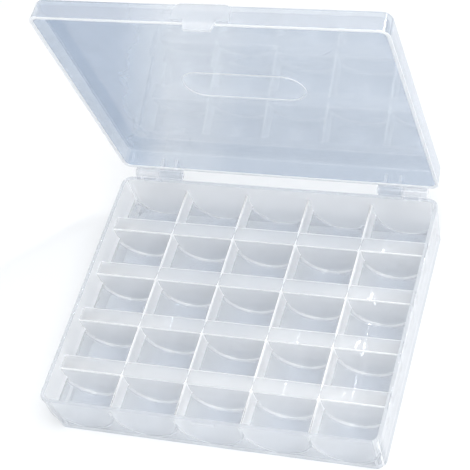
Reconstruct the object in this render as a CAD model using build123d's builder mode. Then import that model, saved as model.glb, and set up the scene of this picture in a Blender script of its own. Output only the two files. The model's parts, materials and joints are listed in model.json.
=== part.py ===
# Bobbin storage box: a shallow tray with a grid of U-shaped pockets and a lid on two snap hinges.
# Millimetres. The origin is on the table under the middle pocket, +X to the right, +Y to the hinges, +Z up.
# The lid is modelled where it stands open.

import os
from math import cos, radians, sin, sqrt, tan

from build123d import *

os.makedirs("parts", exist_ok=True)

# The bobbin that a pocket holds, standing on its edge
bobbin_diameter = 20.5
bobbin_width = 11.7
side_clearance = 1.05
end_clearance = 1.25

# The grid of pockets
columns = 5
rows = 5
web = 0.8
shell = 0.9
pocket_floor = 0.7
trough_edge_drop = 2.1
crest_height = 14.6
ridge_width = 5.95
ridge_wall = 1.0
ridge_cap_thickness = 1.0

# The tray's outer wall
tray_height = 18.9
wall = 1.3
tray_draft = 3.3
tray_corner = 3.6
rim_round = 0.35

# The lid
lid_height = 7.5
lid_draft = 3.6
panel_thickness = 1.2
panel_edge_round = 0.9
rim_gap = 0.15
open_angle = 80.0
oval_length = 44.0
oval_width = 15.2
oval_line = 0.8
oval_relief = 0.25
oval_forward = 2.6

# The two hinges
hinge_behind_wall = 2.4
hinge_below_rim = 0.5
barrel_radius = 1.9
pin_radius = 1.1
pin_clearance = 0.05
hinge_from_side = 22.4
knuckle_length = 8.4
hinge_side_gap = 0.4
lug_length = 9.0
pin_end_gap = 0.6
rib_thickness = 1.2
rib_inset = 1.8
lug_rib_height = 6.0
knuckle_rib_height = 5.3
hinge_plate = 1.0
snap_mouth = 1.5

# The latch on the lid and the catch on the tray
latch_width = 19.0
latch_round = 2.4
latch_top_margin = 1.1
latch_foot_margin = 0.3
latch_thickness = 0.9
tab_top_width = 11.0
tab_bottom_width = 9.0
tab_rise = 2.8
tab_drop = 3.0
hook_height = 0.6
hook_bite = 0.2
catch_width = 8.0
catch_height = 1.4
catch_proud = 0.45
catch_ramp = 0.5
catch_gap = 0.1

# Overshoot of cutters past the faces that they open
over = 2.0

# Worked out from the sizes above
pocket_radius = bobbin_diameter / 2 + side_clearance
pocket_length = bobbin_width + 2 * end_clearance
column_pitch = 2 * pocket_radius + web
row_pitch = pocket_length + ridge_width
trough_height = pocket_floor + pocket_radius
trough_radius = pocket_radius + shell
trough_edge_reach = sqrt(pocket_radius**2 - trough_edge_drop**2)
grid_width = columns * column_pitch - web
grid_length = rows * row_pitch - ridge_width
lean_per_height = tan(radians(tray_draft))
rim_spread = 2 * (wall + (tray_height - trough_height) * lean_per_height)
rim_width = grid_width + rim_spread
rim_length = grid_length + rim_spread
foot_inset = tray_height * lean_per_height
foot_width = rim_width - 2 * foot_inset
foot_length = rim_length - 2 * foot_inset
foot_corner = tray_corner - foot_inset
hinge_y = rim_length / 2 + hinge_behind_wall
hinge_z = tray_height - hinge_below_rim
bore_radius = pin_radius + pin_clearance
knuckle_inner = rim_width / 2 - hinge_from_side
knuckle_outer = knuckle_inner + knuckle_length
lug_inner = knuckle_outer + hinge_side_gap
pin_length = knuckle_length + hinge_side_gap - pin_end_gap


def column_x(column):
    """Middle of a column of pockets, counted from the left."""
    return (column - (columns - 1) / 2) * column_pitch


def row_y(row):
    """Middle of a row of pockets, counted from the front."""
    return (row - (rows - 1) / 2) * row_pitch


def finish(piece, name):
    """Labels a finished piece and writes it to its own file."""
    piece.part.label = name
    export_step(piece.part, f"parts/{name}.step")


# The space inside the tray's leaning walls, which trims whatever meets them
with BuildPart() as cavity:
    with BuildSketch(Plane.XY):
        RectangleRounded(foot_width - 2 * wall, foot_length - 2 * wall, foot_corner - wall)
    extrude(amount=tray_height, taper=-tray_draft)

# The outside of those walls, filled in, which trims what stands on them
with BuildPart() as envelope:
    with BuildSketch(Plane.XY):
        RectangleRounded(foot_width, foot_length, foot_corner)
    extrude(amount=tray_height, taper=-tray_draft)

# Outer wall of the tray, open below like the rest of its underside
with BuildPart() as tray_wall:
    add(envelope.part)
    add(cavity.part, mode=Mode.SUBTRACT)
    fillet(tray_wall.edges().group_by(Axis.Z)[-1], radius=rim_round)
finish(tray_wall, "tray_wall")

# Pockets: thin troughs with upright sides, closed by a thin wall towards the next row.
# Against the tray's outer wall a pocket has no side or end of its own, and its trough stops where it has run
# into the leaning wall.
for row in range(rows):
    front_wall = ridge_wall if row > 0 else over
    back_wall = ridge_wall if row < rows - 1 else over
    front_cut = 0 if row > 0 else over
    back_cut = 0 if row < rows - 1 else over
    pocket_front = row_y(row) - pocket_length / 2
    body_plane = Plane.XZ.offset(-(pocket_front - front_wall))
    cut_plane = Plane.XZ.offset(-(pocket_front - front_cut))
    for column in range(columns):
        middle = column_x(column)
        left_side = middle - (column_pitch / 2 if column > 0 else column_pitch)
        right_side = middle + (column_pitch / 2 if column < columns - 1 else column_pitch)
        left_cut = middle - (pocket_radius if column > 0 else column_pitch)
        right_cut = middle + (pocket_radius if column < columns - 1 else column_pitch)
        with BuildPart() as pocket:
            with BuildSketch(body_plane):
                with Locations((middle, trough_height)):
                    Circle(trough_radius)
                with Locations((left_side, 0)):
                    Rectangle(right_side - left_side, crest_height, align=Align.MIN, mode=Mode.INTERSECT)
                with Locations((left_side, trough_height)):
                    Rectangle(right_side - left_side, crest_height - trough_height, align=Align.MIN)
            extrude(amount=-(front_wall + pocket_length + back_wall))
            with BuildSketch(cut_plane):
                with Locations((middle, trough_height)):
                    Circle(pocket_radius)
                with Locations((left_cut, trough_height)):
                    Rectangle(right_cut - left_cut, crest_height, align=Align.MIN)
                edge_height = trough_height - trough_edge_drop
                if column == 0:
                    with Locations((middle - trough_edge_reach, edge_height)):
                        Rectangle(column_pitch, crest_height, align=(Align.MAX, Align.MIN))
                if column == columns - 1:
                    with Locations((middle + trough_edge_reach, edge_height)):
                        Rectangle(column_pitch, crest_height, align=Align.MIN)
            extrude(amount=-(front_cut + pocket_length + back_cut), mode=Mode.SUBTRACT)
            add(cavity.part, mode=Mode.INTERSECT)
        finish(pocket, f"pocket_row{row + 1}_column{column + 1}")

# Caps that close the flat-topped ridges between the rows
for row in range(rows - 1):
    ridge_y = row_y(row) + row_pitch / 2
    with BuildPart() as ridge_cap:
        with BuildSketch(Plane.XY.offset(crest_height - ridge_cap_thickness)):
            with Locations((0, ridge_y)):
                Rectangle(rim_width, ridge_width - 2 * ridge_wall)
        extrude(amount=ridge_cap_thickness)
        add(cavity.part, mode=Mode.INTERSECT)
    finish(ridge_cap, f"ridge_cap_{row + 1}")

# Hinge lugs on the back wall, each with the stub pin that its knuckle snaps onto
for side, side_name in ((-1, "left"), (1, "right")):
    lug_plane = Plane(origin=(side * lug_inner, hinge_y, hinge_z), x_dir=(0, 1, 0), z_dir=(1, 0, 0))
    with BuildPart() as lug:
        with BuildSketch(lug_plane):
            Circle(barrel_radius)
            with Locations((0, -barrel_radius)):
                Rectangle(2 * hinge_behind_wall, hinge_plate, align=(Align.MAX, Align.MIN))
        extrude(amount=side * lug_length)
        for rib_start in (0, lug_length - rib_thickness - rib_inset):
            with BuildSketch(lug_plane.offset(side * rib_start)):
                with BuildLine():
                    Polyline(
                        (0, 0),
                        (-2 * hinge_behind_wall, 0),
                        (-2 * hinge_behind_wall, -lug_rib_height - barrel_radius),
                        (-hinge_behind_wall, -lug_rib_height),
                        (barrel_radius * cos(radians(45)), -barrel_radius * sin(radians(45))),
                        close=True,
                    )
                make_face()
            extrude(amount=side * rib_thickness)
        with BuildSketch(lug_plane):
            Circle(pin_radius)
        extrude(amount=-side * pin_length)
        add(envelope.part, mode=Mode.SUBTRACT)
    finish(lug, f"hinge_lug_{side_name}")

# Catch: a low ledge with a sloped top, under the front rim
catch_bottom = tray_height - tab_drop + hook_height + catch_gap
catch_face = rim_length / 2 + catch_proud
with BuildPart() as catch:
    with BuildSketch(Plane.YZ.offset(-catch_width / 2)):
        with BuildLine():
            Polyline(
                (-foot_length / 2 + wall, catch_bottom),
                (-catch_face, catch_bottom),
                (-catch_face, catch_bottom + catch_height - catch_ramp),
                (-rim_length / 2, catch_bottom + catch_height),
                (-foot_length / 2 + wall, catch_bottom + catch_height),
                close=True,
            )
        make_face()
    extrude(amount=catch_width)
    add(envelope.part, mode=Mode.SUBTRACT)
finish(catch, "catch")

# The lid's own frame: its origin on the hinge axis, Y towards its back edge and Z out through its panel
lid_frame = Plane(
    origin=(0, hinge_y, hinge_z),
    x_dir=(1, 0, 0),
    z_dir=(0, sin(radians(open_angle)), cos(radians(open_angle))),
)
lid_rim = hinge_below_rim + rim_gap
lid_underside = lid_rim + lid_height - panel_thickness
lid_lean = tan(radians(lid_draft))
skirt_inset = (lid_height - panel_thickness) * lid_lean

# The outside of the lid, filled in, which trims the latch and the knuckles
with BuildPart() as lid_envelope:
    with BuildSketch(lid_frame.offset(lid_rim)):
        with Locations((0, -hinge_y)):
            RectangleRounded(rim_width, rim_length, tray_corner)
    extrude(amount=lid_height, taper=lid_draft)

# Skirt of the lid
with BuildPart() as lid_skirt:
    with BuildSketch(lid_frame.offset(lid_rim)):
        with Locations((0, -hinge_y)):
            RectangleRounded(rim_width, rim_length, tray_corner)
    extrude(amount=lid_height - panel_thickness, taper=lid_draft)
    with BuildSketch(lid_frame.offset(lid_rim)):
        with Locations((0, -hinge_y)):
            RectangleRounded(rim_width - 2 * wall, rim_length - 2 * wall, tray_corner - wall)
    extrude(amount=lid_height - panel_thickness, taper=lid_draft, mode=Mode.SUBTRACT)
    fillet(lid_skirt.edges().group_by(Axis(lid_frame.origin, lid_frame.z_dir))[0], radius=rim_round)
finish(lid_skirt, "lid_skirt")

# Panel of the lid, with a raised oval line on its inner face
panel_width = rim_width - 2 * skirt_inset
panel_length = rim_length - 2 * skirt_inset
with BuildPart() as lid_panel:
    with BuildSketch(lid_frame.offset(lid_underside)):
        with Locations((0, -hinge_y)):
            RectangleRounded(panel_width, panel_length, tray_corner - skirt_inset)
    extrude(amount=panel_thickness, taper=lid_draft)
    panel_top = lid_panel.faces().sort_by(Axis(lid_frame.origin, lid_frame.z_dir))[-1]
    fillet(panel_top.edges(), radius=panel_edge_round)
    with BuildSketch(lid_frame.offset(lid_underside)):
        with Locations((0, -hinge_y - oval_forward)):
            SlotOverall(oval_length, oval_width)
            SlotOverall(oval_length - 2 * oval_line, oval_width - 2 * oval_line, mode=Mode.SUBTRACT)
    extrude(amount=-oval_relief)
finish(lid_panel, "lid_panel")

# Latch: a raised plate on the front skirt, with a tab that hooks under the catch
tab_inner = hinge_y + catch_face + catch_gap
latch_plane = Plane(
    origin=lid_frame.from_local_coords((0, -tab_inner, 0)),
    x_dir=(1, 0, 0),
    z_dir=-lid_frame.y_dir,
)
plate_foot = lid_rim + latch_foot_margin
plate_top = lid_rim + lid_height - latch_top_margin
tab_top = lid_rim + tab_rise
tab_foot = hinge_below_rim - tab_drop
with BuildPart() as latch:
    with BuildSketch(latch_plane.offset(-2 * wall)) as plate_outline:
        with Locations((0, plate_foot)):
            Rectangle(latch_width, plate_top - plate_foot, align=(Align.CENTER, Align.MIN))
        fillet(plate_outline.vertices().group_by(Axis.Y)[-1], radius=latch_round)
    extrude(amount=2 * wall + latch_thickness)
    add(lid_envelope.part, mode=Mode.SUBTRACT)
    with BuildSketch(latch_plane):
        with BuildLine():
            Polyline(
                (-tab_top_width / 2, tab_top),
                (-tab_top_width / 2, lid_rim),
                (-tab_bottom_width / 2, tab_foot),
                (tab_bottom_width / 2, tab_foot),
                (tab_top_width / 2, lid_rim),
                (tab_top_width / 2, tab_top),
                close=True,
            )
        make_face()
    extrude(amount=latch_thickness)
    with BuildSketch(latch_plane):
        with Locations((0, tab_foot)):
            Rectangle(tab_bottom_width, hook_height, align=(Align.CENTER, Align.MIN))
    extrude(amount=-(catch_gap + hook_bite))
finish(latch, "latch")

# Hinge knuckles on the back skirt, each with a bore and a mouth that snaps over the lug's pin
for side, side_name in ((-1, "left"), (1, "right")):
    knuckle_plane = Plane(
        origin=lid_frame.from_local_coords((side * knuckle_inner, 0, 0)),
        x_dir=lid_frame.y_dir,
        z_dir=(1, 0, 0),
    )
    with BuildPart() as knuckle:
        with BuildSketch(knuckle_plane):
            Circle(barrel_radius)
            with Locations((0, barrel_radius)):
                Rectangle(2 * hinge_behind_wall, hinge_plate, align=(Align.MAX, Align.MAX))
        extrude(amount=side * knuckle_length)
        for rib_start in (rib_inset, knuckle_length - rib_thickness):
            with BuildSketch(knuckle_plane.offset(side * rib_start)):
                with BuildLine():
                    Polyline(
                        (0, 0),
                        (-hinge_behind_wall, lid_rim + rim_gap),
                        (-2 * hinge_behind_wall, lid_rim + rim_gap),
                        (-2 * hinge_behind_wall, knuckle_rib_height),
                        (-hinge_behind_wall, knuckle_rib_height),
                        (barrel_radius * cos(radians(45)), barrel_radius * sin(radians(45))),
                        close=True,
                    )
                make_face()
            extrude(amount=side * rib_thickness)
        with BuildSketch(knuckle_plane):
            Circle(bore_radius)
            with Locations((0, 0)):
                Rectangle(snap_mouth, barrel_radius + over, align=(Align.CENTER, Align.MAX))
        extrude(amount=side * knuckle_length, mode=Mode.SUBTRACT)
        add(lid_envelope.part, mode=Mode.SUBTRACT)
    finish(knuckle, f"hinge_knuckle_{side_name}")

print("tray", round(rim_width, 2), "by", round(rim_length, 2), "by", tray_height)
print("hinge axis at y", round(hinge_y, 3), "z", round(hinge_z, 3), "bore radius", bore_radius)
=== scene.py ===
import json
from math import atan, cos, pi, radians, sin, tan

import bmesh
import bpy
from bpy.props import FloatProperty, FloatVectorProperty, IntProperty, PointerProperty
from mathutils import Matrix, Vector


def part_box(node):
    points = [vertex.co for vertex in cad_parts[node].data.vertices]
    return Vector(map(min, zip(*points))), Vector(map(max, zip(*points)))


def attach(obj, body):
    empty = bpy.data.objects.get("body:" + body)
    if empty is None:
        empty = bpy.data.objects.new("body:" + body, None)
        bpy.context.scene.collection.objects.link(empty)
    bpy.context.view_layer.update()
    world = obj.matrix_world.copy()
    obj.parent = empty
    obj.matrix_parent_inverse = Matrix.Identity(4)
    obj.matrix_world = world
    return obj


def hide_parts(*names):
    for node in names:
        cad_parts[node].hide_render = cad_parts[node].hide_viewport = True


bl_info = {
    "name": "Bobbin storage box",
    "version": (1, 0, 0),
    "blender": (4, 5, 0),
    "location": "3D View > Sidebar > Bobbin box",
    "description": "Models a clear plastic box with U-shaped pockets for sewing bobbins",
    "category": "Add Mesh",
}

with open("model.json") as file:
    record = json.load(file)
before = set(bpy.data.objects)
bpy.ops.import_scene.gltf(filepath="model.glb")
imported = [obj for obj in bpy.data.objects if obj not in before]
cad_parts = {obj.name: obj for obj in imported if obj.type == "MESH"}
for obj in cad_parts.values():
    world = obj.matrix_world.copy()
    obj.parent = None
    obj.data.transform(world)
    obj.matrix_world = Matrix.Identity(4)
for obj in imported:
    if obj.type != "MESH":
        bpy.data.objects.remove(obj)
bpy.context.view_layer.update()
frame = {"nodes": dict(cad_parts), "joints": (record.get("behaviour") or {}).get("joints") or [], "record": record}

HINGE_LINE = Vector(frame["joints"][0]["pos_m"])
MM = 0.001


class TraySizes(bpy.types.PropertyGroup):
    pocket_radius: FloatProperty(
        name="Pocket radius", description="Radius of a pocket's rounded floor", default=11.3 * MM, unit="LENGTH"
    )
    pocket_length: FloatProperty(
        name="Pocket length", description="From a pocket's front wall to its back wall", default=14.2 * MM,
        unit="LENGTH",
    )
    web: FloatProperty(
        name="Web", description="Thickness between two pockets of a row", default=0.8 * MM, unit="LENGTH"
    )
    ridge_width: FloatProperty(
        name="Ridge width", description="Width of the flat ridge between two rows", default=5.95 * MM,
        unit="LENGTH",
    )
    ridge_wall: FloatProperty(
        name="Ridge wall", description="Thickness of a ridge's walls and cap", default=1.0 * MM, unit="LENGTH"
    )
    shell: FloatProperty(
        name="Trough shell", description="Thickness of a pocket's rounded floor", default=0.9 * MM, unit="LENGTH"
    )
    floor_centre: FloatProperty(
        name="Trough centre height", description="Height of the axis of the rounded floors", default=12.0 * MM,
        unit="LENGTH",
    )
    crest: FloatProperty(
        name="Crest height", description="Height of the ridges and webs", default=14.6 * MM, unit="LENGTH"
    )
    height: FloatProperty(
        name="Tray height", description="Height of the outer wall", default=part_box("tray_wall")[1].z, unit="LENGTH"
    )
    wall: FloatProperty(name="Wall", description="Thickness of the outer wall", default=1.3 * MM, unit="LENGTH")
    rim_width: FloatProperty(
        name="Rim width", description="Width over the rim", default=119.59 * MM, unit="LENGTH"
    )
    rim_length: FloatProperty(
        name="Rim length", description="Length over the rim", default=98.196 * MM, unit="LENGTH"
    )
    draft: FloatProperty(
        name="Wall lean", description="Angle by which the outer wall leans outwards", default=radians(3.3),
        subtype="ANGLE",
    )
    corner: FloatProperty(
        name="Corner radius", description="Radius of the corners seen from above", default=3.6 * MM, unit="LENGTH"
    )
    edge: FloatProperty(
        name="Edge rounding", description="Rounding of the small moulded edges", default=0.35 * MM, unit="LENGTH"
    )
    # The strip is whiter as denser plastic, and partly as a painted highlight along the trough's end seams
    end_strip: FloatProperty(
        name="End strip", description="Whiter strip of a trough beside its end walls", default=0.9 * MM,
        unit="LENGTH",
    )
    rim_edge: FloatProperty(
        name="Rim rounding", description="Rounding of the rims' edges", default=0.35 * MM, unit="LENGTH"
    )
    columns: IntProperty(name="Columns", description="Pockets from left to right", default=5, min=1)
    rows: IntProperty(name="Rows", description="Pockets from front to back", default=5, min=1)


class LidSizes(bpy.types.PropertyGroup):
    gap: FloatProperty(
        name="Rim gap", description="Gap between the shut lid and the tray", default=0.15 * MM, unit="LENGTH"
    )
    height: FloatProperty(name="Lid height", description="Height of the lid", default=7.5 * MM, unit="LENGTH")
    draft: FloatProperty(
        name="Skirt lean", description="Angle by which the skirt leans inwards", default=radians(3.6),
        subtype="ANGLE",
    )
    panel: FloatProperty(name="Panel", description="Thickness of the lid's panel", default=1.2 * MM, unit="LENGTH")
    inner_edge: FloatProperty(
        name="Inner edge", description="Rounding between the panel and the skirt, inside", default=0.5 * MM,
        unit="LENGTH",
    )
    top_edge: FloatProperty(
        name="Top edge", description="Rounding round the lid's top", default=0.9 * MM, unit="LENGTH"
    )
    oval_length: FloatProperty(
        name="Oval length", description="Length of the raised oval line", default=44.0 * MM, unit="LENGTH"
    )
    oval_width: FloatProperty(
        name="Oval width", description="Width of the raised oval line", default=15.2 * MM, unit="LENGTH"
    )
    oval_line: FloatProperty(
        name="Oval line", description="Width of the line itself", default=0.8 * MM, unit="LENGTH"
    )
    oval_relief: FloatProperty(
        name="Oval relief", description="How far the line stands out", default=0.25 * MM, unit="LENGTH"
    )
    oval_forward: FloatProperty(
        name="Oval offset", description="How far the oval is in front of the middle", default=2.6 * MM,
        unit="LENGTH",
    )
    open_angle: FloatProperty(
        name="Open angle", description="How far the lid stands open in the photographed pose",
        default=radians(80.0), subtype="ANGLE",
    )


class PlasticLook(bpy.types.PropertyGroup):
    tint: FloatVectorProperty(
        name="Milk colour", description="Colour of the light that the plastic scatters", default=(0.98, 0.985, 0.99),
        size=3, subtype="COLOR", min=0.0, max=1.0,
    )
    thin_clear: FloatVectorProperty(
        name="Thin clear colour", description="Colour of the light that goes straight through a thin wall's surface",
        default=(0.98, 0.983, 0.987), size=3, subtype="COLOR", min=0.0, max=1.0,
    )
    # Painted shade: the tray's height ramp deepens the see-through towards this colour near the table
    tray_clear: FloatVectorProperty(
        name="Tray clear colour",
        description="Colour of the light that goes straight through a surface low in the tray",
        default=(0.81, 0.83, 0.86), size=3, subtype="COLOR", min=0.0, max=1.0,
    )
    # Painted shade: the lid's ramp deepens the see-through towards this colour most to its left, standing in for a
    # dark reflection
    lid_clear: FloatVectorProperty(
        name="Lid clear colour",
        description="Colour of the light that goes straight through the darker clouds of the lid's panel",
        default=(0.53, 0.61, 0.716), size=3, subtype="COLOR", min=0.0, max=1.0,
    )
    milkiness: FloatProperty(
        name="Milkiness", description="Share of the light that one surface scatters", default=0.09,
        subtype="FACTOR", min=0.0, max=1.0,
    )
    glow: FloatProperty(
        name="Glow", description="Share of the scattered light that comes out on the far side", default=0.35,
        subtype="FACTOR", min=0.0, max=1.0,
    )
    roughness: FloatProperty(
        name="Haze", description="Roughness of the milky plastic", default=0.4, subtype="FACTOR", min=0.0,
        max=1.0,
    )
    shine_roughness: FloatProperty(
        name="Shine roughness", description="Roughness of the reflections", default=0.06, subtype="FACTOR",
        min=0.0, max=1.0,
    )


class StageLook(bpy.types.PropertyGroup):
    lamp_power: FloatProperty(
        name="Lamp power", description="Power of the narrow lamp at the back right", default=2.0, unit="POWER"
    )
    soft_power: FloatProperty(
        name="Soft box power", description="Power of the large soft box above", default=9.9, unit="POWER"
    )
    low_power: FloatProperty(
        name="Low lamp power", description="Power of the low lamp in front", default=2.2, unit="POWER"
    )
    focal_length: FloatProperty(
        name="Focal length", description="Focal length of the camera, in mm", default=120.998
    )


def only(piece):
    """Makes a piece the only one selected, and the active one."""
    bpy.ops.object.select_all(action="DESELECT")
    piece.select_set(True)
    bpy.context.view_layer.objects.active = piece


def named(name):
    """Names the piece that was just added, with its place and size moved into its mesh."""
    piece = bpy.context.object
    piece.name = name
    piece.data.name = name
    bpy.ops.object.transform_apply(location=True, rotation=True, scale=True)
    return piece


def edit(piece, mode="EDGE"):
    """Opens a piece for editing with nothing selected."""
    only(piece)
    bpy.ops.object.mode_set(mode="EDIT")
    bpy.ops.mesh.select_mode(type=mode)
    bpy.ops.mesh.select_all(action="DESELECT")


def close_edit():
    bpy.ops.object.mode_set(mode="OBJECT")


def pick(kind, test):
    """Selects the parts of the mesh being edited that pass a test, and returns how many there are."""
    mesh = bmesh.from_edit_mesh(bpy.context.object.data)
    bpy.ops.mesh.select_mode(type={"verts": "VERT", "edges": "EDGE", "faces": "FACE"}[kind])
    bpy.ops.mesh.select_all(action="DESELECT")
    count = 0
    for element in getattr(mesh, kind):
        if test(element):
            element.select_set(True)
            count += 1
    mesh.select_flush_mode()
    bmesh.update_edit_mesh(bpy.context.object.data)
    if not count:
        raise RuntimeError(f"nothing to select in {bpy.context.object.name}")
    return count


def at(value, place, near=2e-6):
    return abs(value - place) < near


def pull(offset):
    """Extrudes what is selected by an offset."""
    bpy.ops.mesh.extrude_region_move(TRANSFORM_OT_translate={"value": offset})


def cut(place, direction):
    """Cuts off all that lies beyond a plane."""
    bpy.ops.mesh.select_all(action="SELECT")
    bpy.ops.mesh.bisect(plane_co=place, plane_no=direction, clear_outer=True, threshold=1e-7)


def bevel(width, segments=3, affect="EDGES"):
    bpy.ops.mesh.bevel(offset=width, segments=segments, affect=affect, clamp_overlap=False)


def apply_modifier(piece, name, kind, **values):
    """Adds a modifier and applies it."""
    only(piece)
    modifier = piece.modifiers.new(name, kind)
    for key, value in values.items():
        setattr(modifier, key, value)
    bpy.ops.object.modifier_apply(modifier=modifier.name)


def merge(piece, distance=1e-6):
    edit(piece, "VERT")
    bpy.ops.mesh.select_all(action="SELECT")
    bpy.ops.mesh.remove_doubles(threshold=distance)
    close_edit()


def join(first, *others):
    only(first)
    for other in others:
        other.select_set(True)
    bpy.ops.object.join()
    return first


def unite(base, part):
    """Joins a part into a base as one solid, and removes the part."""
    apply_modifier(base, "Union", "BOOLEAN", operation="UNION", solver="EXACT", object=part)
    bpy.data.objects.remove(part, do_unlink=True)


def upright_shell(name, z, width, length, corner, height, spread):
    """A rounded rectangle pulled to a height, where each side has moved out by the spread."""
    bpy.ops.object.select_all(action="DESELECT")
    bpy.ops.mesh.primitive_plane_add(size=1, location=(0, 0, z))
    bpy.context.object.scale = (width, length, 1)
    piece = named(name)
    edit(piece, "VERT")
    bpy.ops.mesh.select_all(action="SELECT")
    bevel(corner, 8, "VERTICES")
    bpy.ops.mesh.select_mode(type="FACE")
    bpy.ops.mesh.select_all(action="SELECT")
    pull((0, 0, height))
    bpy.ops.transform.resize(
        value=((width + 2 * spread) / width, (length + 2 * spread) / length, 1),
        center_override=(0, 0, z + height),
    )
    pick("faces", lambda f: abs(f.normal.z) > 0.9 and at(f.calc_center_median().z, z))
    bpy.ops.mesh.delete(type="FACE")
    close_edit()
    return piece


def hollow(piece, wall):
    """Gives a shell its wall, on the inside."""
    edit(piece, "FACE")
    bpy.ops.mesh.select_all(action="SELECT")
    bpy.ops.mesh.normals_make_consistent(inside=False)
    close_edit()
    apply_modifier(
        piece, "Wall", "SOLIDIFY", thickness=wall, offset=-1.0, use_even_offset=True, use_quality_normals=True
    )


def level(z, near):
    """Brings everything near a height exactly to it."""
    pick("verts", lambda v: abs(v.co.z - z) < near)
    bpy.ops.transform.resize(value=(1, 1, 0), center_override=(0, 0, z))


def smooth(piece):
    only(piece)
    bpy.ops.object.shade_smooth_by_angle(angle=radians(40), keep_sharp_edges=True)
    apply_modifier(piece, "Flat faces", "WEIGHTED_NORMAL", keep_sharp=True, weight=80)


class BOBBIN_OT_tray_wall(bpy.types.Operator):
    """Outer wall of the tray, leaning outwards, with a rounded rim and foot"""

    bl_idname = "bobbin.tray_wall"
    bl_label = "Tray wall"

    def execute(self, context):
        s = context.scene.bobbin_tray
        spread = s.height * tan(s.draft)
        wall = upright_shell(
            "tray_moulding", s.height, s.rim_width, s.rim_length, s.corner, -s.height, -spread
        )
        edit(wall, "FACE")
        pick("faces", lambda f: abs(f.normal.z) > 0.9)
        bpy.ops.mesh.delete(type="FACE")
        close_edit()
        hollow(wall, s.wall)
        edit(wall, "VERT")
        level(s.height, 0.3 * MM)
        level(0, 0.3 * MM)
        pick("edges", lambda e: all(at(v.co.z, s.height) for v in e.verts) and e.calc_face_angle(0) > 1)
        bevel(s.rim_edge, 4)
        pick("edges", lambda e: all(at(v.co.z, 0) for v in e.verts) and e.calc_face_angle(0) > 1)
        bevel(s.edge, 3)
        close_edit()
        return {"FINISHED"}


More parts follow.
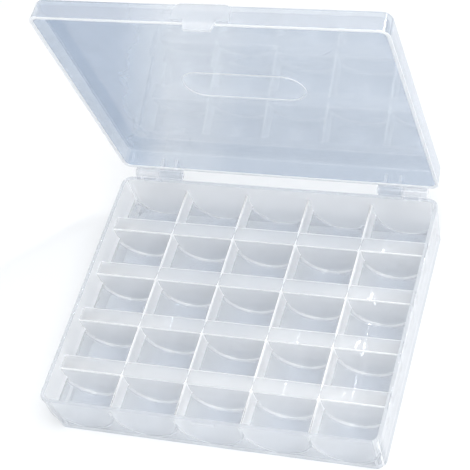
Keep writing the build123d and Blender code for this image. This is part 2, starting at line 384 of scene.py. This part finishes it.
class BOBBIN_OT_pocket_grid(bpy.types.Operator):
    """Rows of U-shaped pockets with thin webs between them and hollow ridges between the rows"""

    bl_idname = "bobbin.pocket_grid"
    bl_label = "Pocket grid"

    def trough(self, s, name, radius, length, segments=64):
        """The lower half of a pipe along Y."""
        bpy.ops.object.select_all(action="DESELECT")
        bpy.ops.mesh.primitive_circle_add(
            vertices=segments, radius=radius, location=(0, -length / 2, s.floor_centre), rotation=(pi / 2, 0, 0)
        )
        pipe = named(name)
        edit(pipe, "VERT")
        pick("verts", lambda v: v.co.z > s.floor_centre + 1e-6)
        bpy.ops.mesh.delete(type="VERT")
        return pipe

    def close_ends(self, length):
        for side in (-1, 1):
            pick("edges", lambda e: all(at(v.co.y, side * length / 2) for v in e.verts))
            bpy.ops.mesh.edge_face_add()

    def execute(self, context):
        s = context.scene.bobbin_tray
        column_pitch = 2 * s.pocket_radius + s.web
        row_pitch = s.pocket_length + s.ridge_width
        half_pitch = column_pitch / 2

        # Upper side of one pocket, with half a web and half a ridge round it
        cell = self.trough(s, "pocket_grid", s.pocket_radius, s.pocket_length)
        pick("verts", lambda v: at(v.co.z, s.floor_centre))
        pull((0, 0, s.crest - s.floor_centre))
        bpy.ops.mesh.select_all(action="SELECT")
        for part in (s.end_strip, s.pocket_length - 2 * s.end_strip, s.end_strip):
            pull((0, part, 0))
        self.close_ends(s.pocket_length)
        pick("edges", lambda e: all(at(v.co.z, s.crest) for v in e.verts))
        pull((0, 0, 0))
        bpy.ops.transform.resize(
            value=(half_pitch / s.pocket_radius, row_pitch / s.pocket_length, 1),
            center_override=(0, 0, s.crest),
        )
        close_edit()

        # Its underside: the trough's outside, the ends that it shows below, and the underside of the ridge
        body_length = s.pocket_length + 2 * s.ridge_wall
        under = self.trough(s, "pocket_underside", s.pocket_radius + s.shell, body_length)
        bpy.ops.mesh.select_all(action="SELECT")
        for part in (s.end_strip + s.ridge_wall, s.pocket_length - 2 * s.end_strip, s.end_strip + s.ridge_wall):
            pull((0, part, 0))
        for side in (-1, 1):
            cut((side * half_pitch, 0, 0), (side, 0, 0))
        foot = 0.05 * MM
        cut((0, 0, foot), (0, 0, -1))
        pick("edges", lambda e: all(at(v.co.z, foot) for v in e.verts))
        bpy.ops.mesh.edge_face_add()
        cap_bottom = s.crest - s.ridge_wall
        for side in (-1, 1):
            pick("verts", lambda v: at(abs(v.co.x), half_pitch) and at(v.co.y, side * body_length / 2))
            fork = next(v.co.z for v in bmesh.from_edit_mesh(under.data).verts if v.select)
            pull((0, 0, cap_bottom - fork))
        self.close_ends(body_length)
        for side in (-1, 1):
            pick(
                "edges",
                lambda e: all(at(v.co.z, cap_bottom) and at(v.co.y, side * body_length / 2) for v in e.verts),
            )
            pull((0, side * (row_pitch - body_length) / 2, 0))
        close_edit()
        join(cell, under)

        # The whole grid, from copies of that pocket
        for name, count, offset in (
            ("Columns", s.columns, (column_pitch, 0, 0)),
            ("Rows", s.rows, (0, row_pitch, 0)),
        ):
            apply_modifier(
                cell, name, "ARRAY", count=count, use_relative_offset=False, use_constant_offset=True,
                constant_offset_displace=offset,
            )
        edit(cell, "VERT")
        bpy.ops.mesh.select_all(action="SELECT")
        bpy.ops.transform.translate(
            value=(-(s.columns - 1) / 2 * column_pitch, -(s.rows - 1) / 2 * row_pitch, 0)
        )
        bpy.ops.mesh.remove_doubles(threshold=1e-6)

        # The outermost pockets reach into the outer wall, which closes them
        side_x = (s.columns - 1) / 2 * column_pitch + s.pocket_radius
        end_y = (s.rows - 1) / 2 * row_pitch + s.pocket_length / 2
        reach = 0.35 * MM
        for side in (-1, 1):
            pick("verts", lambda v: at(v.co.x, side * side_x) and v.co.z > s.floor_centre - 1e-6)
            bpy.ops.transform.translate(value=(side * reach, 0, 0))
            pick("verts", lambda v: at(v.co.y, side * end_y))
            bpy.ops.transform.translate(value=(0, side * reach, 0))
        end_cut = end_y + 0.4 * MM
        for side in (-1, 1):
            cut((0, side * end_cut, 0), (0, side, 0))
        bpy.ops.mesh.select_all(action="SELECT")
        bpy.ops.mesh.normals_make_consistent(inside=False)

        # Soft edges: the openings, the ends of the troughs and the ridges' inside corners
        def soft(e):
            if not 1.35 < e.calc_face_angle(0) < 1.8:
                return False
            middle = (e.verts[0].co + e.verts[1].co) / 2
            return abs(middle.x) < side_x - 1e-5 and abs(middle.y) < end_y - 1e-5

        pick("edges", soft)
        bevel(s.edge, 3)

        # Closes the four sides, which end inside the outer wall
        side_cut = side_x + s.web / 2
        for x in (-1, 1):
            for y in (-1, 1):
                pick("verts", lambda v: at(v.co.x, x * side_cut) and at(v.co.y, y * end_cut))
                bpy.ops.mesh.edge_face_add()
        for axis, place in ((0, side_cut), (1, end_cut)):
            for side in (-1, 1):
                pick(
                    "edges",
                    lambda e: len(e.link_faces) < 2 and all(at(v.co[axis], side * place) for v in e.verts),
                )
                bpy.ops.mesh.edge_face_add()
        bpy.ops.mesh.select_all(action="SELECT")
        bpy.ops.mesh.normals_make_consistent(inside=False)
        close_edit()
        return {"FINISHED"}


def fitting(node, place, inwards):
    """A merged copy of a small solid of the frame, whose face against a wall goes a little way into it."""
    sunk, edge = 0.3 * MM, 0.1 * MM
    piece = bpy.data.objects.new(node + "_form", frame["nodes"][node].data.copy())
    bpy.context.collection.objects.link(piece)
    edit(piece, "VERT")
    bpy.ops.mesh.select_all(action="SELECT")
    bpy.ops.mesh.remove_doubles(threshold=1e-6)
    bpy.ops.mesh.dissolve_limited(angle_limit=radians(1))
    pick("faces", lambda f: all(abs((v.co - place).dot(inwards)) < 8e-6 for v in f.verts))
    bpy.ops.transform.translate(value=inwards * sunk)
    close_edit()
    apply_modifier(
        piece, "Edges", "BEVEL", width=edge, segments=2, limit_method="ANGLE", angle_limit=radians(35)
    )
    return piece


class BOBBIN_OT_tray_fittings(bpy.types.Operator):
    """Joins the pockets, the hinge lugs with their pins and the catch to the tray wall, as one moulding"""

    bl_idname = "bobbin.tray_fittings"
    bl_label = "Tray fittings"

    def execute(self, context):
        s = context.scene.bobbin_tray
        tray = bpy.data.objects["tray_moulding"]
        unite(tray, bpy.data.objects["pocket_grid"])
        for node, side in (("hinge_lug_left", 1), ("hinge_lug_right", 1), ("catch", -1)):
            place = Vector((0, side * s.rim_length / 2, s.height))
            inwards = Vector((0, -side * cos(s.draft), sin(s.draft)))
            unite(tray, fitting(node, place, inwards))
        smooth(tray)
        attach(tray, "tray")
        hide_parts(*frame["record"]["behaviour"]["bodies"]["tray"])
        return {"FINISHED"}


class BOBBIN_OT_lid_moulding(bpy.types.Operator):
    """Lid with its skirt and raised oval line, its latch and its two hinge knuckles, as one moulding"""

    bl_idname = "bobbin.lid_moulding"
    bl_label = "Lid moulding"

    def oval(self, s, face):
        """A flat ring of two straights and two half circles, which stands out from the panel's inner face."""
        bpy.ops.object.select_all(action="DESELECT")
        sunk = 0.3 * MM
        bpy.ops.mesh.primitive_plane_add(size=1, location=(0, -s.oval_forward, face + sunk))
        bpy.context.object.scale = (s.oval_length, s.oval_width, 1)
        ring = named("oval_line")
        edit(ring, "VERT")
        bpy.ops.mesh.select_all(action="SELECT")
        bevel(s.oval_width / 2 * 0.9999, 14, "VERTICES")
        bpy.ops.mesh.select_all(action="SELECT")
        bpy.ops.mesh.remove_doubles(threshold=5e-6)
        bpy.ops.mesh.select_mode(type="FACE")
        bpy.ops.mesh.select_all(action="SELECT")
        bpy.ops.mesh.inset(thickness=s.oval_line)
        bpy.ops.mesh.delete(type="FACE")
        bpy.ops.mesh.select_all(action="SELECT")
        pull((0, 0, -sunk - s.oval_relief))
        bpy.ops.mesh.select_all(action="SELECT")
        bpy.ops.mesh.normals_make_consistent(inside=False)
        pick(
            "edges",
            lambda e: all(at(v.co.z, face - s.oval_relief) for v in e.verts) and e.calc_face_angle(0) > 1,
        )
        bevel(0.1 * MM, 2)
        close_edit()
        return ring

    def execute(self, context):
        t = context.scene.bobbin_tray
        s = context.scene.bobbin_lid
        rim = t.height + s.gap
        top = rim + s.height
        lid = upright_shell(
            "lid_moulding", rim, t.rim_width, t.rim_length, t.corner, s.height, -s.height * tan(s.draft)
        )
        hollow(lid, t.wall)
        face = top - s.panel
        edit(lid, "VERT")
        level(rim, 0.3 * MM)
        level(face, 0.3 * MM)
        for height, width, segments in (
            (face, s.inner_edge, 3), (top, s.top_edge, 5), (rim, t.rim_edge, 4),
        ):
            pick("edges", lambda e: all(at(v.co.z, height) for v in e.verts) and e.calc_face_angle(0) > 1)
            bevel(width, segments)
        close_edit()
        unite(lid, self.oval(s, face))

        # Stands the lid open, and then adds what sits on its front and back
        turn = Matrix.Rotation(-s.open_angle, 4, "X")
        lid.matrix_world = Matrix.Translation(HINGE_LINE) @ turn @ Matrix.Translation(-HINGE_LINE)
        only(lid)
        bpy.ops.object.transform_apply(location=True, rotation=True, scale=True)
        for node, side in (("latch", -1), ("hinge_knuckle_left", 1), ("hinge_knuckle_right", 1)):
            place = Vector((0, side * t.rim_length / 2, rim)) - HINGE_LINE
            inwards = Vector((0, -side * cos(s.draft), -sin(s.draft)))
            unite(lid, fitting(node, HINGE_LINE + turn @ place, turn @ inwards))
        smooth(lid)
        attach(lid, "lid")
        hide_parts(*frame["record"]["behaviour"]["bodies"]["lid"])
        return {"FINISHED"}


def rays(tree):
    """1 for rays of the camera, of reflections and of what is seen through clear things, and 0 for others."""
    path = tree.nodes.new("ShaderNodeLightPath")
    seen = path.outputs["Is Camera Ray"]
    for name in ("Is Glossy Ray", "Is Transmission Ray"):
        either = tree.nodes.new("ShaderNodeMath")
        either.operation = "MAXIMUM"
        tree.links.new(seen, either.inputs[0])
        tree.links.new(path.outputs[name], either.inputs[1])
        seen = either.outputs[0]
    return seen


class BOBBIN_OT_clear_plastic(bpy.types.Operator):
    """Milky clear plastic for the tray and the lid, whiter along their rims and small edges, partly as a painted
    highlight, with painted shade low in the tray and to the lid's left
    """

    bl_idname = "bobbin.clear_plastic"
    bl_label = "Clear plastic"

    def mark(self, moulding, judge):
        """Writes on each face how much more it scatters than the rest, and how deep its colour is.

        A judge gives both numbers for a face. It is also told whether the face is part of a narrow rounded edge.
        """
        rounding = 0.26 * MM
        mesh = moulding.data
        whites = mesh.attributes.new("whiter", "FLOAT", "FACE")
        depths = mesh.attributes.new("thick", "FLOAT", "FACE")
        for face, white, depth in zip(mesh.polygons, whites.data, depths.data):
            corners = [mesh.vertices[i].co for i in face.vertices]
            shortest = min((a - b).length for a, b in zip(corners, corners[1:] + corners[:1]))
            white.value, depth.value = judge(face, shortest < rounding and len(corners) < 6)

    def in_tray(self, s):
        """Judges the tray's faces, from the rim and the outer wall to the pockets' webs, ends and floors."""
        pitch = 2 * s.pocket_radius + s.web
        row_pitch = s.pocket_length + s.ridge_width
        end = s.pocket_length / 2
        side_x = s.columns / 2 * pitch
        end_y = s.rows / 2 * row_pitch - s.ridge_width / 2
        web_reach = 1.1 * MM
        near = 0.1 * MM
        outer = s.pocket_radius + s.shell
        fork = s.floor_centre - (outer**2 - pitch**2 / 4) ** 0.5

        def judge(face, narrow):
            place = face.center
            # Rim, hinge lugs and catch, and the outer wall on its four sides and above the ridges
            if place.z > s.height - near:
                return 0.1, 6.0
            if abs(place.y) > s.rim_length / 2 + 2 * near:
                return 0.2, 2.0
            if place.x > side_x:
                return 0.0, 8.0
            if place.y > end_y:
                return 0.05, 5.5
            if place.x < -side_x or place.y < -end_y:
                return 0.0, 4.8
            if place.z > s.crest + near:
                return 0.05, 2.6

            # Webs between the pockets of a row, above the fork of their troughs
            beside = abs((place.x / pitch + s.columns / 2 + 0.5) % 1 - 0.5) * pitch
            if beside < web_reach and place.z > fork:
                return 1.2, 0.0

            # Rounded edges, ends of the troughs, flat ridges, floors and end walls
            local = ((place.y / row_pitch + s.rows / 2) % 1 - 0.5) * row_pitch
            along = abs(local)
            # Narrow rounded edges: whiter as denser plastic, and partly a painted highlight
            if narrow:
                return (0.35 if local > 0 and place.z < s.crest - s.edge else 1.0), 0.0
            across = abs(face.normal.y) < 0.5
            # Strips of trough floor beside the end walls: whiter as denser plastic, and partly a painted highlight
            # along the seams
            if end - s.end_strip < along < end + s.ridge_wall - near / 2 and across:
                return (1.0 if local < 0 else 0.3), 0.2
            if at(place.z, s.crest, near):
                return 0.25, 0.0
            if across and along < end:
                return 0.12, 1.0
            return (0.2, 0.6) if local < 0 else (0.45, 1.4)

        return judge

    def in_lid(self, t, s):
        """Judges the lid's faces: its rim, the latch and the knuckles, the skirt, and the panel."""
        up = Vector((0, sin(s.open_angle), cos(s.open_angle)))
        back = Vector((0, cos(s.open_angle), -sin(s.open_angle)))
        near = 0.1 * MM

        def judge(face, narrow):
            # Where the face is on the shut lid: its height above the rim, and its place from front to back
            place = face.center - HINGE_LINE
            height = place.dot(up) + HINGE_LINE.z - t.height - s.gap
            along = place.dot(back) + HINGE_LINE.y
            if abs(along) > t.rim_length / 2 + 2 * near:
                return (0.5 if along < 0 and height < 0 else 0.2), 0.5
            # Narrow rounded edges and the rim: whiter as denser plastic, and partly a painted highlight
            if narrow or height < near:
                return 1.0, 0.0
            if height > s.height - s.panel - 3 * near:
                return 0.1, 1.0
            if abs(along) > t.rim_length / 2 - 2 * t.wall:
                return 0.1, 0.3 if along < 0 else 1.0
            return 0.1, 0.5 if place.x < 0 else 2.4

        return judge

    def ramp(self, nodes, links, place, direction, stops):
        """A value that follows stops, each a distance along a direction in the piece and a number."""
        along = nodes.new("ShaderNodeVectorMath")
        along.operation = "DOT_PRODUCT"
        along.inputs[1].default_value = direction
        links.new(place.outputs["Object"], along.inputs[0])
        start, end = stops[0][0], stops[-1][0]
        share = nodes.new("ShaderNodeMapRange")
        share.inputs["From Min"].default_value = start
        share.inputs["From Max"].default_value = end
        links.new(along.outputs["Value"], share.inputs["Value"])
        ramp = nodes.new("ShaderNodeValToRGB")
        steps = ramp.color_ramp.elements
        for distance, _ in stops[1:-1]:
            steps.new((distance - start) / (end - start))
        for step, (_, value) in zip(steps, stops):
            step.color = (value, value, value, 1)
        links.new(share.outputs[0], ramp.inputs["Fac"])
        return ramp.outputs["Color"]

    def painted_shade_low_in_tray(self, nodes, links, place):
        """The tray is clearer towards its rim and bluer near the table, where its parts lie close together: painted
        shade, standing in for the shade that falls under and between them.
        """
        upwards = (0, 0, 1)
        # Painted shade: deepest at the foot, fading to a little above 8 mm
        return self.ramp(nodes, links, place, upwards, ((1 * MM, 1.0), (8 * MM, 0.15)))

    def clouds_and_painted_shade_in_lid(self, nodes, links, place):
        """The lid has large soft clouds of random tone, over painted shade that makes it deepest to the left,
        standing in for a dark reflection, and lightest beside that.
        """
        clouds = nodes.new("ShaderNodeTexNoise")
        clouds.inputs["Scale"].default_value = 30
        clouds.inputs["Detail"].default_value = 4
        links.new(place.outputs["Object"], clouds.inputs["Vector"])
        both = nodes.new("ShaderNodeMath")
        both.operation = "MULTIPLY_ADD"
        links.new(clouds.outputs["Fac"], both.inputs[0])
        both.inputs[1].default_value = 0.12
        # Painted shade: a ramp from the lid's left, deepest there and lightest just beside it
        rightwards = (1, 0, -0.36)
        stops = [
            (distance * MM, depth) for distance, depth in
            ((-74, 0.97), (-62, 0.62), (-53, 0.36), (-35, 0.42), (-26, 0.52), (20, 0.54))
        ]
        links.new(self.ramp(nodes, links, place, rightwards, stops), both.inputs[2])
        return both.outputs[0]

    def plastic(self, look, name, deep_clear, deep, sharpness):
        """Mixes what goes straight through, what is scattered to both sides and what is reflected."""
        plastic = bpy.data.materials.new(name)
        plastic.use_nodes = True
        nodes, links = plastic.node_tree.nodes, plastic.node_tree.links

        def math(kind, first, second, third=None):
            node = nodes.new("ShaderNodeMath")
            node.operation = kind
            for socket, value in zip(node.inputs, (first, second, third)):
                if isinstance(value, (int, float)):
                    socket.default_value = value
                elif value is not None:
                    links.new(value, socket)
            return node.outputs[0]

        def mix(factor, first, second):
            node = nodes.new("ShaderNodeMixShader")
            if isinstance(factor, float):
                node.inputs["Fac"].default_value = factor
            else:
                links.new(factor, node.inputs["Fac"])
            links.new(first, node.inputs[1])
            links.new(second, node.inputs[2])
            return node.outputs[0]

        # Faint waves in the moulded surface
        place = nodes.new("ShaderNodeTexCoord")
        waves = nodes.new("ShaderNodeTexNoise")
        waves.inputs["Scale"].default_value = 60
        waves.inputs["Detail"].default_value = 3
        links.new(place.outputs["Object"], waves.inputs["Vector"])
        relief = nodes.new("ShaderNodeBump")
        relief.inputs["Strength"].default_value = 0.1
        relief.inputs["Distance"].default_value = 0.1 * MM
        links.new(waves.outputs["Fac"], relief.inputs["Height"])

        facing = nodes.new("ShaderNodeLayerWeight")
        facing.inputs["Blend"].default_value = 0.5
        whiter = nodes.new("ShaderNodeAttribute")
        whiter.attribute_name = "whiter"
        thick = nodes.new("ShaderNodeAttribute")
        thick.attribute_name = "thick"

        # How much of the light is scattered by the milky plastic: more along the edges, where it is partly a painted
        # highlight, and at a slant
        slant = math("POWER", facing.outputs["Facing"], 3.0)
        scattered = math("MULTIPLY_ADD", slant, 0.25, look.milkiness)
        scattered = math("MULTIPLY_ADD", waves.outputs["Fac"], 0.06, scattered)
        scattered = math("MULTIPLY_ADD", whiter.outputs["Fac"], 0.75, scattered)

        # The milk, which scatters light to the near side and lets some glow through to the far side
        body = nodes["Principled BSDF"]
        body.inputs["Base Color"].default_value = (*look.tint, 1)
        body.inputs["Roughness"].default_value = look.roughness
        links.new(relief.outputs["Normal"], body.inputs["Normal"])
        glow = nodes.new("ShaderNodeBsdfTranslucent")
        glow.inputs["Color"].default_value = (*look.tint, 1)

        # What goes straight through, deeper in colour on the faces marked as thick, times a ramp that paints shade
        # low in the tray and to the lid's left, with the lid's clouds of random tone
        clear = nodes.new("ShaderNodeBsdfTransparent")
        tints = nodes.new("ShaderNodeMix")
        tints.data_type = "RGBA"
        tints.inputs["A"].default_value = (*look.thin_clear, 1)
        tints.inputs["B"].default_value = (*deep_clear, 1)
        links.new(math("MULTIPLY", thick.outputs["Fac"], deep(nodes, links, place)), tints.inputs["Factor"])
        links.new(tints.outputs["Result"], clear.inputs["Color"])

        # The shine, a little everywhere and more at a slant
        shine = nodes.new("ShaderNodeBsdfGlossy")
        shine.inputs["Roughness"].default_value = look.shine_roughness
        shine.inputs["Color"].default_value = (1, 1, 1, 1)
        links.new(relief.outputs["Normal"], shine.inputs["Normal"])
        least = 0.04
        mirror = math("MULTIPLY_ADD", math("POWER", facing.outputs["Facing"], sharpness), 1 - least, least)

        milky = mix(scattered, clear.outputs[0], mix(look.glow, body.outputs[0], glow.outputs[0]))
        links.new(mix(mirror, milky, shine.outputs[0]), nodes["Material Output"].inputs["Surface"])
        return plastic

    def execute(self, context):
        look = context.scene.bobbin_plastic
        tray, lid = bpy.data.objects["tray_moulding"], bpy.data.objects["lid_moulding"]
        sizes = context.scene.bobbin_tray
        self.mark(tray, self.in_tray(sizes))
        self.mark(lid, self.in_lid(sizes, context.scene.bobbin_lid))
        for moulding, name, clear, deep, sharpness in (
            (tray, "milky_tray_plastic", look.tray_clear, self.painted_shade_low_in_tray, 5.0),
            (lid, "milky_lid_plastic", look.lid_clear, self.clouds_and_painted_shade_in_lid, 3.5),
        ):
            moulding.data.materials.clear()
            moulding.data.materials.append(self.plastic(look, name, clear, deep, sharpness))
        return {"FINISHED"}


class BOBBIN_OT_stage(bpy.types.Operator):
    """Pale floor, soft lamps and the camera"""

    bl_idname = "bobbin.stage"
    bl_label = "Stage"

    def floor(self):
        bpy.ops.object.select_all(action="DESELECT")
        bpy.ops.mesh.primitive_plane_add(size=4, location=(0, 0, -0.02 * MM))
        floor = named("floor")
        paper = bpy.data.materials.new("pale_paper")
        paper.use_nodes = True
        nodes, links = paper.node_tree.nodes, paper.node_tree.links
        nodes.remove(nodes["Principled BSDF"])
        matt = nodes.new("ShaderNodeBsdfDiffuse")
        matt.inputs["Color"].default_value = (0.86, 0.87, 0.88, 1)
        white = nodes.new("ShaderNodeEmission")
        shown = nodes.new("ShaderNodeMath")
        shown.operation = "MULTIPLY"
        shown.inputs[1].default_value = 0.05
        links.new(rays(paper.node_tree), shown.inputs[0])
        links.new(shown.outputs[0], white.inputs["Strength"])
        both = nodes.new("ShaderNodeAddShader")
        links.new(matt.outputs[0], both.inputs[0])
        links.new(white.outputs[0], both.inputs[1])
        links.new(both.outputs[0], nodes["Material Output"].inputs["Surface"])
        floor.data.materials.append(paper)

    def lamp(self, name, power, size, direction, distance):
        """An area lamp that looks at the box."""
        light = bpy.data.lights.new(name, "AREA")
        light.shape = "RECTANGLE"
        light.size, light.size_y = size
        light.energy = power
        lamp = bpy.data.objects.new(name, light)
        bpy.context.collection.objects.link(lamp)
        towards = Vector(direction).normalized()
        lamp.location = towards * distance
        lamp.rotation_euler = towards.to_track_quat("Z", "Y").to_euler()

    def sky(self, scene):
        """An even pale sky, which is white where it is seen and dimmer as a light."""
        world = bpy.data.worlds.new("soft_sky")
        world.use_nodes = True
        nodes, links = world.node_tree.nodes, world.node_tree.links
        sky = nodes["Background"]
        sky.inputs["Color"].default_value = (0.98, 0.99, 1, 1)
        strength = nodes.new("ShaderNodeMath")
        strength.operation = "MULTIPLY_ADD"
        strength.inputs[1].default_value = 0.6
        strength.inputs[2].default_value = 0.4
        links.new(rays(world.node_tree), strength.inputs[0])
        links.new(strength.outputs[0], sky.inputs["Strength"])
        scene.world = world

    def camera(self, scene, focal_length):
        """The camera stands where the box looks as it does in the photograph."""
        lens = bpy.data.cameras.new("camera")
        lens.sensor_width = 36
        lens.lens = focal_length
        camera = bpy.data.objects.new("camera", lens)
        scene.collection.objects.link(camera)
        right = Vector((0.93907, 0.26236, -0.22209))
        down = Vector((0.08113, -0.79702, -0.59848))
        forward = Vector((-0.33403, 0.544, -0.76974))
        stand = Matrix((right, -down, -forward)).transposed().to_4x4()
        stand.translation = Vector((177.44, -278.01, 449.66)) * MM
        camera.matrix_world = stand
        scene.camera = camera

    def execute(self, context):
        look = context.scene.bobbin_stage
        self.floor()
        for name, power, size, direction, distance in (
            ("soft_box", look.soft_power, (0.9, 0.9), (0.2, -0.2, 1), 1.1),
            ("low_lamp", look.low_power, (0.6, 0.4), (0.4, -1, 0.45), 1.1),
            ("narrow_lamp", look.lamp_power, (0.057, 0.2), (0.533, 0.5, 0.683), 1.0),
        ):
            self.lamp(name, power, size, direction, distance)
        self.sky(context.scene)
        self.camera(context.scene, look.focal_length)
        context.scene.view_settings.view_transform = "Standard"
        context.scene.cycles.transparent_max_bounces = 32
        return {"FINISHED"}


class BOBBIN_PT_panel(bpy.types.Panel):
    """The box's operators and sizes"""

    bl_label = "Bobbin storage box"
    bl_idname = "BOBBIN_PT_panel"
    bl_space_type = "VIEW_3D"
    bl_region_type = "UI"
    bl_category = "Bobbin box"

    def draw(self, context):
        for operator in OPERATORS:
            self.layout.operator(operator.bl_idname)
        for group in GROUPS:
            box = self.layout.box()
            for name in GROUPS[group].__annotations__:
                box.prop(getattr(context.scene, group), name)


OPERATORS = (
    BOBBIN_OT_tray_wall, BOBBIN_OT_pocket_grid, BOBBIN_OT_tray_fittings, BOBBIN_OT_lid_moulding,
    BOBBIN_OT_clear_plastic, BOBBIN_OT_stage,
)
GROUPS = {
    "bobbin_tray": TraySizes, "bobbin_lid": LidSizes, "bobbin_plastic": PlasticLook, "bobbin_stage": StageLook,
}


def register():
    for group, sizes in GROUPS.items():
        bpy.utils.register_class(sizes)
        setattr(bpy.types.Scene, group, PointerProperty(type=sizes))
    for kind in (*OPERATORS, BOBBIN_PT_panel):
        bpy.utils.register_class(kind)


def unregister():
    for kind in (BOBBIN_PT_panel, *reversed(OPERATORS)):
        bpy.utils.unregister_class(kind)
    for group, sizes in GROUPS.items():
        delattr(bpy.types.Scene, group)
        bpy.utils.unregister_class(sizes)


def main():
    register()
    bpy.ops.bobbin.tray_wall()
    bpy.ops.bobbin.pocket_grid()
    bpy.ops.bobbin.tray_fittings()
    bpy.ops.bobbin.lid_moulding()
    bpy.ops.bobbin.clear_plastic()
    bpy.ops.bobbin.stage()


if __name__ == "__main__":
    main()
